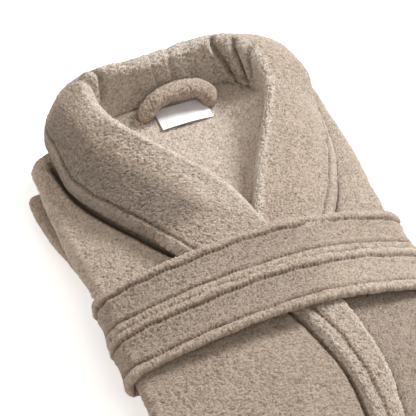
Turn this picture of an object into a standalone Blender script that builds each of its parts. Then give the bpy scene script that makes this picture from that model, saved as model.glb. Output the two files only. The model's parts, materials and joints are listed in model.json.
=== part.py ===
"""A plush shawl-collar bathrobe, folded for a guest's bed.

The upper half lies face up with its sides turned under. The skirt is folded under it in two
lengths, and each sleeve is folded under its shoulder in two lengths. The belt is doubled and
laid across the waist, with its ends tucked under the sides.

Frame: metres, +Z up, +Y towards the collar, +X to the right of someone who looks at the
front. The origin is on the resting plane, at the middle of the folded hem.
"""

import math

import bmesh
import bpy
from mathutils import Vector

# Upper half of the robe
HALF_WIDTH = 0.175  # side fold to centre line
FOLD_Y = -0.240  # fold line between the upper half and the skirt
SHOULDER_Y = 0.236  # where the sides start to round in to the shoulder seam
SHOULDER_RADIUS = 0.022
FRONT_TOP_Y = 0.256  # top end of the front panels, at the shoulder seam
NECK_Y = 0.276  # back neck seam
CORNER_RADIUS = 0.035  # rounded corners at the fold line
BODY_BOTTOM = 0.0412  # underside of the upper half
EDGE_TOP = 0.060  # height of the upper half along its side folds
CROWN = 0.030  # how much higher the middle stands at the waist
RETURN_END = 0.060  # side seam, where the turned-under side ends

# Stacked layers inside the upper half
RETURN_TOP = 0.0490
BACK_BOTTOM = 0.0500
BACK_TOP = 0.0560
BACK_HALF_WIDTH = 0.150
FRONT_BOTTOM = 0.0570
FLANGE_TOP = 0.0660  # right front where the left front covers it
FLANGE_EDGE = -0.030  # opening edge of the right front, under the left one
INNER_BAND_TOP = 0.0740
OVERLAP_BOTTOM = 0.0750  # left front where it covers the right one
NECK_HUMP = 0.0805  # lining side of the back inside the neck opening

# Shawl collar and front band
COLLAR_THICK = 0.0110
COLLAR_GAP = 0.0020
LAPEL_END_Y = 0.053  # the collar's slope starts here, just above the belt
LEFT_LAPEL_END_Y = 0.058
RIGHT_LAPEL_END_Y = 0.075  # the left front covers the right lapel below this
LAPEL_TOP_Y = 0.208
ROLL_RISE = 0.060  # height that the roll gains between the belt and the neck
ROLL_TOP_Y = 0.290
BAND_THICK = 0.0093
BAND_GAP = 0.0012

# Folded-under skirt and sleeves
UNDER_BOTTOM = 0.0195
UNDER_TOP = 0.0335
LOWER_TOP = 0.0155
HINGE_Z = 0.0372
SKIRT_HALF_WIDTH = 0.158
HEM_HALF_WIDTH = 0.155
SKIRT_Y = (-0.232, 0.030)
HEM_Y = (-0.226, 0.030)
SLEEVE_X = (0.010, 0.181)
SLEEVE_Y = (0.062, 0.250)
CUFF_LENGTH = 0.058
POCKET_SIZE = (0.120, 0.150)
POCKET_THICK = 0.0025

# Belt
BELT_WIDTH = 0.0535
BELT_THICK = 0.0060
BELT_INNER_HALF = 0.1690
BELT_SHOULDER_Z = 0.0635
BELT_CROWN = 0.0395
BELT_MIDDLE_Y = -0.009
BELT_SLANT = -0.006  # how far the right side sits below the middle
BELT_PINCH = 0.0085  # how much narrower each side is at the belt and below it
BELT_PINCH_REACH = 0.130
BELT_TUCK = 0.0185  # length of belt tucked in under each side
TUCK_TOP = 0.0405
TUCK_BOTTOM = 0.0355

# Small sewn pieces
LOOP_RADIUS = 0.0100
LOOP_HALF_SPAN = 0.0375
LOOP_RISE = 0.018
LOOP_LEAN = math.radians(65)
LOOP_SEAT = Vector((0.0015, 0.2600, 0.0927))
LABEL_SIZE = (0.062, 0.015, 0.0012)
LABEL_SEAT = Vector((0.0055, 0.2490, 0.0810))
BELT_LOOP_SIZE = (0.010, 0.070, 0.0025)

PLUSH = (0.44, 0.35, 0.27)
PLUSH_DARK = (0.36, 0.28, 0.21)
SATIN_WHITE = (0.86, 0.85, 0.86)


def clear_scene():
    for obj in list(bpy.data.objects):
        bpy.data.objects.remove(obj, do_unlink=True)


def material(name, colour, roughness):
    made = bpy.data.materials.new(name)
    made.use_nodes = True
    shader = made.node_tree.nodes["Principled BSDF"]
    shader.inputs["Base Color"].default_value = (*colour, 1.0)
    shader.inputs["Roughness"].default_value = roughness
    shader.inputs["Metallic"].default_value = 0.0
    return made


def smooth(t):
    t = min(1.0, max(0.0, t))
    return t * t * (3 - 2 * t)


def mix(a, b, t):
    return a + (b - a) * t


def spread(low, high, count):
    return [mix(low, high, i / (count - 1)) for i in range(count)]


def along(points, y):
    """Cardinal interpolation through points (y, value), whose y values rise."""
    last = len(points) - 2
    i = next((k for k in range(last + 1) if y < points[k + 1][0]), last)
    before = points[max(i - 1, 0)][1]
    (y0, a), (y1, b) = points[i], points[i + 1]
    after = points[min(i + 2, last + 1)][1]
    t = min(1.0, max(0.0, (y - y0) / (y1 - y0)))
    slope_a = (b - before) / 2
    slope_b = (after - a) / 2
    return (
        (2 * t**3 - 3 * t**2 + 1) * a
        + (t**3 - 2 * t**2 + t) * slope_a
        + (3 * t**2 - 2 * t**3) * b
        + (t**3 - t**2) * slope_b
    )


# ---------------------------------------------------------------- shape of the folded body


def half_width(y):
    """Half the plan width: rounded at the fold line and shoulders, widening above the belt."""
    above_belt = max(0.0, y - BELT_MIDDLE_Y)
    full = HALF_WIDTH - BELT_PINCH * math.exp(-((above_belt / BELT_PINCH_REACH) ** 2))
    if y < FOLD_Y + CORNER_RADIUS:
        inset = FOLD_Y + CORNER_RADIUS - y
        return full - CORNER_RADIUS + math.sqrt(max(CORNER_RADIUS**2 - inset**2, 0.0))
    if y > SHOULDER_Y:
        inset = min(y - SHOULDER_Y, SHOULDER_RADIUS)
        return full - SHOULDER_RADIUS + math.sqrt(SHOULDER_RADIUS**2 - inset**2)
    return full


def crown(x, y):
    """Height of the fronts without the collar: highest at the waist, lower at both ends."""
    towards_fold = smooth((-0.120 - y) / 0.120)
    towards_neck = smooth((y - 0.060) / 0.190)
    rise = CROWN - 0.008 * towards_fold - 0.018 * towards_neck
    return EDGE_TOP + rise * max(0.0, 1 - (x / HALF_WIDTH) ** 2)


# Opening edge of the left front: collar roll above the belt, band edge below it
LEFT_ROLL = [
    (FOLD_Y, 0.060),
    (-0.160, 0.063),
    (-0.061, 0.054),
    (0.046, 0.024),
    (0.120, -0.009),
    (0.184, -0.058),
    (0.232, -0.093),
    (0.270, -0.104),
]
LEFT_OUTER = [
    (FOLD_Y, 0.022),
    (-0.137, 0.024),
    (-0.054, 0.002),
    (0.050, -0.071),
    (0.125, -0.116),
    (0.188, -0.146),
    (0.245, -0.156),
    (0.270, -0.152),
]
RIGHT_ROLL = [(0.000, -0.010), (0.075, 0.019), (0.114, 0.038), (0.157, 0.062), (0.213, 0.090), (0.270, 0.103)]
RIGHT_OUTER = [(0.000, 0.070), (0.042, 0.096), (0.110, 0.132), (0.161, 0.149), (0.220, 0.157), (0.270, 0.150)]


def left_roll(y):
    return along(LEFT_ROLL, y)


def left_outer(y):
    return along(LEFT_OUTER, y)


def right_roll(y):
    return max(along(RIGHT_ROLL, y), left_roll(y) + 0.005)


def right_outer(y):
    return along(RIGHT_OUTER, y)


def roll_height(x_roll, y):
    share = min(1.0, max(0.0, (y - LAPEL_END_Y) / (ROLL_TOP_Y - LAPEL_END_Y)))
    rise = ROLL_RISE * (1 - (1 - share) ** 1.6)
    return crown(x_roll, y) + COLLAR_THICK + COLLAR_GAP + rise


def lapel_height(x, y, x_roll, x_outer):
    """Top of the turned-down collar between its roll and its outer edge."""
    t = min(1.0, max(0.0, (x - x_roll) / (x_outer - x_roll)))
    rise = roll_height(x_roll, y) - crown(x_roll, y) - COLLAR_THICK - COLLAR_GAP
    return crown(x, y) + COLLAR_THICK + COLLAR_GAP + rise * (1 - t)


def front_height(x, y, x_roll, x_outer):
    """Top of a front panel: it carries the collar where the collar covers it."""
    covered = y >= LAPEL_END_Y and (x - x_outer) * (x_roll - x_outer) > 0
    if not covered:
        return crown(x, y)
    shoulder_drop = 0.027 * smooth((y - SHOULDER_Y) / (FRONT_TOP_Y - SHOULDER_Y))
    top = lapel_height(x, y, x_roll, x_outer) - COLLAR_THICK - COLLAR_GAP
    return max(top - shoulder_drop, crown(x, y) - 0.002)


# ---------------------------------------------------------------- mesh helpers


def loft(sections):
    """A closed solid through closed loops that all have the same number of points."""
    bm = bmesh.new()
    rings = [[bm.verts.new(p) for p in section] for section in sections]
    count = len(rings[0])
    for a, b in zip(rings, rings[1:]):
        for i in range(count):
            j = (i + 1) % count
            bm.faces.new((a[i], a[j], b[j], b[i]))
    bm.faces.new(list(reversed(rings[0])))
    bm.faces.new(rings[-1])
    bmesh.ops.recalc_face_normals(bm, faces=bm.faces)
    if bm.calc_volume(signed=True) < 0:
        bmesh.ops.reverse_faces(bm, faces=bm.faces)
    return bm


def add_node(name, bm, look, pivot=(0.0, 0.0, 0.0)):
    """Makes the named sub-part, with its origin on the joint axis that it turns about."""
    pivot = Vector(pivot)
    bmesh.ops.translate(bm, verts=bm.verts, vec=-pivot)
    mesh = bpy.data.meshes.new(name)
    bm.to_mesh(mesh)
    bm.free()
    mesh.materials.append(look)
    mesh.shade_smooth()
    mesh.set_sharp_from_angle(angle=math.radians(35))
    obj = bpy.data.objects.new(name, mesh)
    obj.location = pivot
    bpy.context.scene.collection.objects.link(obj)
    return obj


def rounded_outline(x_span, y_span, radius, steps=4):
    """Plan outline of a rectangle with rounded corners, anticlockwise."""
    (x0, x1), (y0, y1) = x_span, y_span
    low, high = (x0 + radius, y0 + radius), (x1 - radius, y1 - radius)
    corners = [(*high, 0), (low[0], high[1], 90), (*low, 180), (high[0], low[1], 270)]
    outline = []
    for cx, cy, start in corners:
        for k in range(steps + 1):
            a = math.radians(start + 90 * k / steps)
            outline.append((cx + radius * math.cos(a), cy + radius * math.sin(a)))
    return outline


def slab(x_span, y_span, z_span, radius, edge):
    """A flat padded layer: a rounded rectangle whose upper and lower edges are chamfered."""
    (x0, x1), (y0, y1), (z0, z1) = x_span, y_span, z_span
    sections = []
    for inset, z in ((edge, z0), (0.0, z0 + edge), (0.0, z1 - edge), (edge, z1)):
        plan = rounded_outline((x0 + inset, x1 - inset), (y0 + inset, y1 - inset), radius)
        sections.append([(x, y, z) for x, y in plan])
    return loft(sections)


def stations(low, high, step):
    return spread(low, high, max(2, round((high - low) / step) + 1))


# ---------------------------------------------------------------- upper half


def side_fold(w, y):
    """Outline of the turned-under side from its top edge to its lower edge, as (u, z)."""
    top_u = w - 0.012
    top_z = crown(top_u * HALF_WIDTH / w, y)
    middle = (top_z + BODY_BOTTOM) / 2
    half = (top_z - BODY_BOTTOM) / 2
    turn = [math.radians(a) for a in (90, 50, 15, -20, -55, -90)]
    return [(top_u + 0.012 * math.cos(a), middle + half * math.sin(a)) for a in turn]


def front_section(y, side, open_u, top, inner_bottom, step_u):
    """Section of a front panel at y, as a C that wraps the side. u runs outwards from the centre."""
    w = half_width(y)
    fold = side_fold(w, y)
    top_u = spread(open_u, fold[0][0], 12)[:-1]
    inner_u = min(BACK_HALF_WIDTH + 0.002, w - 0.016)
    section = [(u, top(side * u, y)) for u in top_u]
    section += fold
    section += [(RETURN_END, BODY_BOTTOM), (RETURN_END, RETURN_TOP)]
    section += [(inner_u, RETURN_TOP), (inner_u, FRONT_BOTTOM)]
    section += [(max(step_u, open_u + 0.004), FRONT_BOTTOM)]
    section += [(max(step_u - 0.004, open_u + 0.002), inner_bottom), (open_u, inner_bottom)]
    return [(side * u, y, z) for u, z in section]


def front_panel_left(look):
    def top(x, y):
        return front_height(x, y, left_roll(y), left_outer(y))

    sections = []
    for y in stations(FOLD_Y, FRONT_TOP_Y, 0.020):
        lift = mix(OVERLAP_BOTTOM, FRONT_BOTTOM, smooth((y - 0.062) / 0.020))
        sections.append(front_section(y, -1, -left_roll(y), top, lift, 0.034))
    add_node("front_panel_left", loft(sections), look)


def front_panel_right(look):
    """Its opening edge is a thin flange that lies under the left front."""

    def top(x, y):
        return front_height(x, y, right_roll(y), right_outer(y))

    sections = []
    for y in stations(FOLD_Y, FRONT_TOP_Y, 0.020):
        step = right_roll(y) if y > 0.0 else left_roll(y) + 0.005
        section = front_section(y, 1, step, top, FRONT_BOTTOM, step)
        edge = mix(FLANGE_EDGE, step - 0.004, smooth((y - 0.005) / 0.050))
        flange = [(edge, y, FRONT_BOTTOM), (edge, y, FLANGE_TOP), (step - 0.001, y, FLANGE_TOP)]
        sections.append(section + flange)
    add_node("front_panel_right", loft(sections), look)


def back_panel(look):
    """One sheet under both fronts. Its lining side shows inside the neck opening."""
    sections = []
    for y in stations(FOLD_Y + 0.016, NECK_Y - 0.004, 0.024):
        half = min(BACK_HALF_WIDTH, half_width(y) - 0.024)
        shown = smooth((y - 0.137) / 0.030)
        hump = mix(BACK_TOP, NECK_HUMP, shown)
        left_in = min(left_roll(y) + 0.014, -0.010) if shown else -0.020
        right_in = max(right_roll(y) - 0.014, 0.020) if shown else 0.020
        middle = (left_in + right_in) / 2
        foot_left, foot_right = mix(left_in, middle, 0.02), mix(right_in, middle, 0.02)
        top_left, top_right = mix(left_in, middle, 0.25), mix(right_in, middle, 0.25)
        section = [(-half, BACK_BOTTOM), (half, BACK_BOTTOM), (half, BACK_TOP), (foot_right, BACK_TOP)]
        section += [(top_right, hump), (middle, hump), (top_left, hump)]
        section += [(foot_left, BACK_TOP), (-half, BACK_TOP)]
        sections.append([(x, y, z) for x, z in section])
    add_node("back_panel", loft(sections), look)


# ---------------------------------------------------------------- shawl collar and front bands


def turned_strip(y, x_roll, x_outer, top, thick, count=6):
    """Section at y of a padded strip that runs from its roll to its outer edge."""
    xs = spread(x_roll, x_outer, count)
    upper = [(x, y, top(x, y)) for x in xs]
    lower = [(x, y, top(x, y) - thick) for x in reversed(xs)]
    return upper + lower


def roll_axis(roll, side, end_y):
    """The lapel's hinge line: straight, touching the roll's top from inside the neck opening."""
    crests = [Vector((roll(y), y, roll_height(roll(y), y))) for y in spread(end_y, LAPEL_TOP_Y, 17)]
    direction = (crests[-1] - crests[0]).normalized()
    inwards = Vector((direction.y, -direction.x, 0)).normalized() * -side
    upwards = inwards.cross(direction) * -side
    upwards = upwards if upwards.z > 0 else -upwards
    start = crests[0]
    start = start + inwards * max((crest - start).dot(inwards) for crest in crests)
    start = start + upwards * max((crest - start).dot(upwards) for crest in crests)
    return start, direction


def lapel(name, side, end_y, roll, outer, look):
    def top(x, y):
        return lapel_height(x, y, roll(y), outer(y))

    sections = []
    for y in stations(end_y, LAPEL_TOP_Y, 0.020):
        sections.append(turned_strip(y, roll(y), outer(y), top, COLLAR_THICK))
    start, direction = roll_axis(roll, side, end_y)
    middle = start + direction * ((LAPEL_TOP_Y - end_y) / 2 / direction.y)
    add_node(name, loft(sections), look, middle)


def collar_stations():
    """Crest, outer edge and seam of the collar round the back of the neck, left to right."""
    return [
        # crest, outer edge, foot of the stand, depth of the stand from 0 to 1
        ((-0.0945, 0.236, 0.1360), (-0.156, 0.238, 0.0880), (-0.0945, 0.236, 0.1250), 0.0),
        ((-0.1040, 0.258, 0.1400), (-0.158, 0.263, 0.0860), (-0.1010, 0.259, 0.1200), 0.2),
        ((-0.1070, 0.279, 0.1420), (-0.151, 0.289, 0.0830), (-0.0940, 0.270, 0.0980), 0.7),
        ((-0.0970, 0.293, 0.1430), (-0.130, 0.311, 0.0790), (-0.0810, 0.277, 0.0835), 1.0),
        ((-0.0720, 0.298, 0.1430), (-0.090, 0.320, 0.0770), (-0.0600, 0.279, 0.0835), 1.0),
        ((-0.0190, 0.303, 0.1425), (-0.019, 0.325, 0.0755), (-0.0060, 0.281, 0.0835), 1.0),
        ((0.0450, 0.305, 0.1430), (0.055, 0.325, 0.0770), (0.0460, 0.282, 0.0835), 1.0),
        ((0.0740, 0.301, 0.1425), (0.094, 0.319, 0.0790), (0.0690, 0.281, 0.0835), 1.0),
        ((0.0930, 0.288, 0.1410), (0.124, 0.303, 0.0820), (0.0840, 0.274, 0.0835), 1.0),
        ((0.1020, 0.270, 0.1390), (0.145, 0.283, 0.0840), (0.0930, 0.263, 0.0980), 0.7),
        ((0.1030, 0.252, 0.1355), (0.155, 0.258, 0.0860), (0.1000, 0.252, 0.1195), 0.2),
        ((0.0985, 0.234, 0.1320), (0.159, 0.236, 0.0870), (0.0985, 0.234, 0.1225), 0.0),
    ]


def collar_end(y, x_roll, x_outer):
    """The collar's section where a lapel carries on from it."""
    crest = (x_roll, y, roll_height(x_roll, y))
    outer = (x_outer, y, crown(x_outer, y) + COLLAR_THICK + COLLAR_GAP)
    return crest, outer, (x_roll, y, crest[2] - COLLAR_THICK), 0.0


def collar_back(look):
    """The stand and the fall of the collar, as an inverted U round the back of the neck."""
    y = LAPEL_TOP_Y + 0.004
    rows = [collar_end(y, left_roll(y), left_outer(y))]
    rows += collar_stations()
    rows.append(collar_end(y, right_roll(y), right_outer(y)))
    down = Vector((0, 0, -COLLAR_THICK))
    sections = []
    for crest, outer, foot, depth in rows:
        crest, outer, foot = Vector(crest), Vector(outer), Vector(foot)
        outward = Vector((outer.x - crest.x, outer.y - crest.y, 0)).normalized() * COLLAR_THICK
        shoulder = crest.lerp(outer, 0.25).lerp(crest + outward * 1.45 + down * 0.35, depth)
        edge = (outer + down * 0.9).lerp(outer - outward * 0.8, depth)
        under = crest + down * 1.2 + outward * mix(0.3, 0.9, depth)
        wall = foot + outward * mix(0.2, 0.8, depth)
        sections.append([foot, crest, shoulder, outer, edge, under, wall])
    add_node("collar_back", loft(sections), look)


def front_band_left(look):
    """The collar's continuation below the lapel: it passes under the belt to the fold line."""

    def top(x, y):
        return crown(x, y) + BAND_GAP + BAND_THICK

    sections = []
    for y in stations(FOLD_Y, LAPEL_END_Y - 0.004, 0.020):
        sections.append(turned_strip(y, left_roll(y), left_outer(y), top, BAND_THICK))
    add_node("front_band_left", loft(sections), look)


def front_band_right(look):
    """The right front's own band, covered by the left front."""
    sections = []
    for y in stations(FOLD_Y, 0.004, 0.040):
        inner, outer = FLANGE_EDGE + 0.001, left_roll(y) - 0.012
        low, high = FLANGE_TOP + 0.0008, INNER_BAND_TOP
        sections.append([(inner, y, low), (outer, y, low), (outer, y, high), (inner, y, high)])
    add_node("front_band_right", loft(sections), look)


# ---------------------------------------------------------------- skirt, pockets and sleeves


def skirt(look, pocket_look):
    fold_axis = (0.0, FOLD_Y, HINGE_Z)
    hem_axis = (0.0, SKIRT_Y[1] + 0.006, (UNDER_BOTTOM + LOWER_TOP) / 2)
    upper = slab((-SKIRT_HALF_WIDTH, SKIRT_HALF_WIDTH), SKIRT_Y, (UNDER_BOTTOM, UNDER_TOP), 0.010, 0.004)
    add_node("skirt_panel", upper, look, fold_axis)
    lower = slab((-HEM_HALF_WIDTH, HEM_HALF_WIDTH), HEM_Y, (0.0, LOWER_TOP), 0.010, 0.004)
    add_node("hem_panel", lower, look, hem_axis)
    width, height = POCKET_SIZE
    for name, side in (("pocket_left", -1), ("pocket_right", 1)):
        xs = sorted((side * 0.028, side * (0.028 + width)))
        ys = (SKIRT_Y[0] + 0.080, SKIRT_Y[0] + 0.080 + height)
        zs = (UNDER_BOTTOM - 0.0003 - POCKET_THICK, UNDER_BOTTOM - 0.0003)
        add_node(name, slab(xs, ys, zs, 0.008, 0.0008), pocket_look, fold_axis)


def sleeve(label, side, look, cuff_look):
    """Upper sleeve under the shoulder, then the forearm and its turned-back cuff under that."""
    near, far = SLEEVE_X
    shoulder_axis = (side * (far + 0.008), 0.0, HINGE_Z)
    elbow_axis = (side * (near - 0.006), 0.0, (UNDER_BOTTOM + LOWER_TOP) / 2)

    def mirrored(a, b):
        return tuple(sorted((side * a, side * b)))

    upper = slab(mirrored(near, far), SLEEVE_Y, (UNDER_BOTTOM, UNDER_TOP), 0.010, 0.004)
    add_node(f"sleeve_{label}", upper, look, shoulder_axis)
    cuff_start = far - CUFF_LENGTH
    narrow = (SLEEVE_Y[0] + 0.006, SLEEVE_Y[1] - 0.006)
    fore = slab(mirrored(near, cuff_start - 0.0005), narrow, (0.0015, LOWER_TOP - 0.001), 0.008, 0.004)
    add_node(f"forearm_{label}", fore, look, elbow_axis)
    cuff_y = (SLEEVE_Y[0] + 0.002, SLEEVE_Y[1] - 0.002)
    cuff = slab(mirrored(cuff_start, far), cuff_y, (0.0, LOWER_TOP), 0.008, 0.004)
    add_node(f"cuff_{label}", cuff, cuff_look, elbow_axis)


# ---------------------------------------------------------------- belt


def belt_path():
    """(inner x, inner z, outer x, outer z) from the left tuck, over the top, to the right tuck."""
    half, thick = BELT_INNER_HALF, BELT_THICK
    tuck_end = half - BELT_TUCK
    left = [
        (-tuck_end, TUCK_TOP, -tuck_end, TUCK_BOTTOM),
        (-half + 0.002, TUCK_TOP, -half - thick + 0.006, TUCK_BOTTOM),
        (-half, TUCK_TOP + 0.002, -half - thick, TUCK_BOTTOM + 0.006),
        (-half, 0.056, -half - thick, 0.058),
    ]
    top = []
    for x in spread(-0.96 * half, 0.96 * half, 15):
        z = BELT_SHOULDER_Z + BELT_CROWN * (1 - (x / half) ** 2)
        normal = Vector((2 * BELT_CROWN * x / half**2, 0, 1)).normalized()
        top.append((x, z, x + normal.x * thick, z + normal.z * thick))
    right = [(-xi, zi, -xo, zo) for xi, zi, xo, zo in reversed(left)]
    return left + top + right


def belt_run(name, low, high, look):
    """One length of the doubled belt. low and high are its edges, from the belt's middle line."""
    sections = []
    for xi, zi, xo, zo in belt_path():
        y = BELT_MIDDLE_Y + BELT_SLANT * xi / BELT_INNER_HALF
        sections.append([(xi, y + low, zi), (xi, y + high, zi), (xo, y + high, zo), (xo, y + low, zo)])
    return add_node(name, loft(sections), look)


def belt(look):
    """Two runs, joined where the strip turns back inside the right-hand tuck."""
    upper = belt_run("belt", 0.0003, BELT_WIDTH, look)
    lower = belt_run("belt_lower_run", -BELT_WIDTH, -0.0003, look)
    turn_x = (BELT_INNER_HALF - BELT_TUCK + 0.001, BELT_INNER_HALF - 0.004)
    turn_z = (TUCK_BOTTOM + 0.0005, TUCK_TOP - 0.0005)
    middle = BELT_MIDDLE_Y + BELT_SLANT
    turn = slab(turn_x, (middle - 0.030, middle + 0.030), turn_z, 0.002, 0.0005)
    turn = add_node("belt_turn", turn, look)
    for other in (lower, turn):
        other.hide_render = True
        other.display_type = "WIRE"
        union = upper.modifiers.new("join_" + other.name, "BOOLEAN")
        union.operation = "UNION"
        union.object = other


# ---------------------------------------------------------------- small sewn pieces


def hanger_loop(look):
    """A stuffed tube that arches from one point of the neck seam to another."""
    up = Vector((0, math.cos(LOOP_LEAN), math.sin(LOOP_LEAN)))
    sections = []
    for step in range(13):
        a = math.pi * step / 12
        centre = LOOP_SEAT + Vector((-LOOP_HALF_SPAN * math.cos(a), 0, 0)) + up * LOOP_RISE * math.sin(a)
        ahead = Vector((LOOP_HALF_SPAN * math.sin(a), 0, 0)) + up * LOOP_RISE * math.cos(a)
        across = Vector((1, 0, 0)).cross(up)
        outwards = ahead.normalized().cross(across)
        full = LOOP_RADIUS * (0.72 + 0.28 * smooth(math.sin(a) * 2))
        ring = [math.radians(45 * k) for k in range(8)]
        sections.append([centre + (outwards * math.cos(b) + across * math.sin(b)) * full for b in ring])
    add_node("hanger_loop", loft(sections), look, LOOP_SEAT)


def neck_label(look):
    """A woven label, sewn along its upper edge below the neck seam."""
    width, length, thick = LABEL_SIZE
    seat = LABEL_SEAT
    xs = (seat.x - width / 2, seat.x + width / 2)
    plate = slab(xs, (seat.y - length, seat.y), (seat.z, seat.z + thick), 0.001, 0.0003)
    add_node("neck_label", plate, look, seat)


def belt_loops(look):
    """Narrow strips at the side seams, flat against the underside of the folded body."""
    width, length, thick = BELT_LOOP_SIZE
    for name, side in (("belt_loop_left", -1), ("belt_loop_right", 1)):
        xs = sorted((side * (RETURN_END + 0.004), side * (RETURN_END + 0.004 + width)))
        ys = (BELT_MIDDLE_Y - length / 2, BELT_MIDDLE_Y + length / 2)
        zs = (BODY_BOTTOM - 0.0003 - thick, BODY_BOTTOM - 0.0003)
        add_node(name, slab(xs, ys, zs, 0.002, 0.0006), look)


def build():
    clear_scene()
    plush = material("plush", PLUSH, 0.95)
    trim = material("plush_trim", PLUSH_DARK, 0.95)
    satin = material("label_satin", SATIN_WHITE, 0.45)
    back_panel(plush)
    front_panel_left(plush)
    front_panel_right(plush)
    collar_back(trim)
    lapel("lapel_left", -1, LEFT_LAPEL_END_Y, left_roll, left_outer, trim)
    lapel("lapel_right", 1, RIGHT_LAPEL_END_Y, right_roll, right_outer, trim)
    front_band_left(trim)
    front_band_right(trim)
    skirt(plush, trim)
    sleeve("left", -1, plush, trim)
    sleeve("right", 1, plush, trim)
    belt(trim)
    hanger_loop(trim)
    neck_label(satin)
    belt_loops(trim)


build()
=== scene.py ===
"""Looks of the folded plush bathrobe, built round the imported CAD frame.

Every cloth piece is a closed padded sheet made from splines, with its seams, topstitching,
creases and pile in the mesh. Frame: metres, +Z up, +Y towards the collar, +X to the right.
"Left" and "right" are those of someone who looks at the robe's front from the fold line.
"""

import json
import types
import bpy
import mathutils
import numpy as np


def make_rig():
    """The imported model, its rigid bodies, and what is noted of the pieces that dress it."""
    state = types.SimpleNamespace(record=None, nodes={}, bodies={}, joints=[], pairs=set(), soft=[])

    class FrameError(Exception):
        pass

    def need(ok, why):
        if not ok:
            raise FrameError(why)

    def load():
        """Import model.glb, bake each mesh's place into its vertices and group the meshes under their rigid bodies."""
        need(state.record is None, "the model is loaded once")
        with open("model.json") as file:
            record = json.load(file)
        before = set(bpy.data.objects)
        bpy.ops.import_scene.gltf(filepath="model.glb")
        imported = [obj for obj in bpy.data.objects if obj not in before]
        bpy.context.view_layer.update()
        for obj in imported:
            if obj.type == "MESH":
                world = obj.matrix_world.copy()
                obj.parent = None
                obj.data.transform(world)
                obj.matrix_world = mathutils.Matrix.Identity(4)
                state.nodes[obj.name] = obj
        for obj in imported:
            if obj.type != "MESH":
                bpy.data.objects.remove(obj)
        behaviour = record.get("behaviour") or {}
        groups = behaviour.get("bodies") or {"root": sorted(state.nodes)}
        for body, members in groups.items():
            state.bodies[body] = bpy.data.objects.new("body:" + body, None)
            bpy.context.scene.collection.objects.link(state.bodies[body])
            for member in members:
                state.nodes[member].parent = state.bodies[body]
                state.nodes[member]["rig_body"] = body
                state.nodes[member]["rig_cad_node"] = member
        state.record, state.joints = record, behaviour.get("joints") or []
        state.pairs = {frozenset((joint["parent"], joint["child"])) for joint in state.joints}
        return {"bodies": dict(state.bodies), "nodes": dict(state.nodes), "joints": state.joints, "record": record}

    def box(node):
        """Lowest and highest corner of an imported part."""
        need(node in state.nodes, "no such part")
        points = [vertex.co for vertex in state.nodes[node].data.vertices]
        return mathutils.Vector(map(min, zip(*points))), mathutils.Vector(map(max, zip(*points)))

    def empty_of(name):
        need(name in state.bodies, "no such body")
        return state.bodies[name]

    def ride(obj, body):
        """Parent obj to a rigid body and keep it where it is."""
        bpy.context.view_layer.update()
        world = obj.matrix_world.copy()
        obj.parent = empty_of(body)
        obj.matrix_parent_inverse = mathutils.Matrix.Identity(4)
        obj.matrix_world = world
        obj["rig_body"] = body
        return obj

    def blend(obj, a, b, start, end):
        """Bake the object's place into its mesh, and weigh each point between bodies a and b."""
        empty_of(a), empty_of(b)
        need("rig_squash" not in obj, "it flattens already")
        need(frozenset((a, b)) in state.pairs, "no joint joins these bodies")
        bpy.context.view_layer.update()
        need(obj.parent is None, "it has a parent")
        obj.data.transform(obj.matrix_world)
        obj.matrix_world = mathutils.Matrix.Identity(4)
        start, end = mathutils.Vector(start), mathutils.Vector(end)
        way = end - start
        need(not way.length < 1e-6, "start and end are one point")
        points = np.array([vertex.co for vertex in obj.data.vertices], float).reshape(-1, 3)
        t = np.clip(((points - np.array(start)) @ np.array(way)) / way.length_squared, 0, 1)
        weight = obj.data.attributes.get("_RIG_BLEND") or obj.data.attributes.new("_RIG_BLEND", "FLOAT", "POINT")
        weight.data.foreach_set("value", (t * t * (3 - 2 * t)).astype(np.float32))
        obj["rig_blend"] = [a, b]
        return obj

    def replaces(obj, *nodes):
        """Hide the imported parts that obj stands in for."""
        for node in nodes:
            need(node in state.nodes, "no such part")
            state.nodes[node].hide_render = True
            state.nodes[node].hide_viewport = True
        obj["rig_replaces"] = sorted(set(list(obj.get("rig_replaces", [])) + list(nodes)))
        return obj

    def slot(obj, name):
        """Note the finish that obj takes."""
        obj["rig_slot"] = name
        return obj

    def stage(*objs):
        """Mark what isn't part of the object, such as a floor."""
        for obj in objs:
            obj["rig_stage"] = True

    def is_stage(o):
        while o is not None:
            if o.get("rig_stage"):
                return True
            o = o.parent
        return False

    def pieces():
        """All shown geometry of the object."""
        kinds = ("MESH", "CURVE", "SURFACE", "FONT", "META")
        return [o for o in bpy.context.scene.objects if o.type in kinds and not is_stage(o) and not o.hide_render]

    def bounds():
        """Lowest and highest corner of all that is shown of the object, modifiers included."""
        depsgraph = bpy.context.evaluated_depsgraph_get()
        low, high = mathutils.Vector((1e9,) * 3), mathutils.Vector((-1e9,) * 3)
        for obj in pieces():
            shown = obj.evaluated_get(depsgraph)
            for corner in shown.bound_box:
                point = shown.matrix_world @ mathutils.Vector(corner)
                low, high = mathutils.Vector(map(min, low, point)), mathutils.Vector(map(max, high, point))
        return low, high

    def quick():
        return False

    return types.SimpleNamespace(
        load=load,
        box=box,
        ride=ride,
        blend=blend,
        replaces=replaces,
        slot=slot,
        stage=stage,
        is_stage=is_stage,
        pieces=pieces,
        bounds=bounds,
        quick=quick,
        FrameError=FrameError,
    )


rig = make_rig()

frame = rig.load()
cad_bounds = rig.bounds()

import json
import math

import bpy
import numpy as np
from mathutils import Vector

# ---------------------------------------------------------------- sizes from the frame

ROOT = "upper_robe"
front_low, front_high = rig.box("front_panel_left")
belt_low, belt_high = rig.box("belt")
skirt_low, skirt_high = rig.box("skirt_panel")
hem_low, hem_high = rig.box("hem_panel")
label_low, label_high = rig.box("neck_label")

HALF_WIDTH = -front_low.x
FOLD_Y = front_low.y
SHOULDER_END_Y = front_high.y + 0.008
BODY_BOTTOM = front_low.z
BELT_Y = (belt_low.y + belt_high.y) / 2
LINING_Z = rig.box("back_panel")[1].z + 0.002

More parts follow.
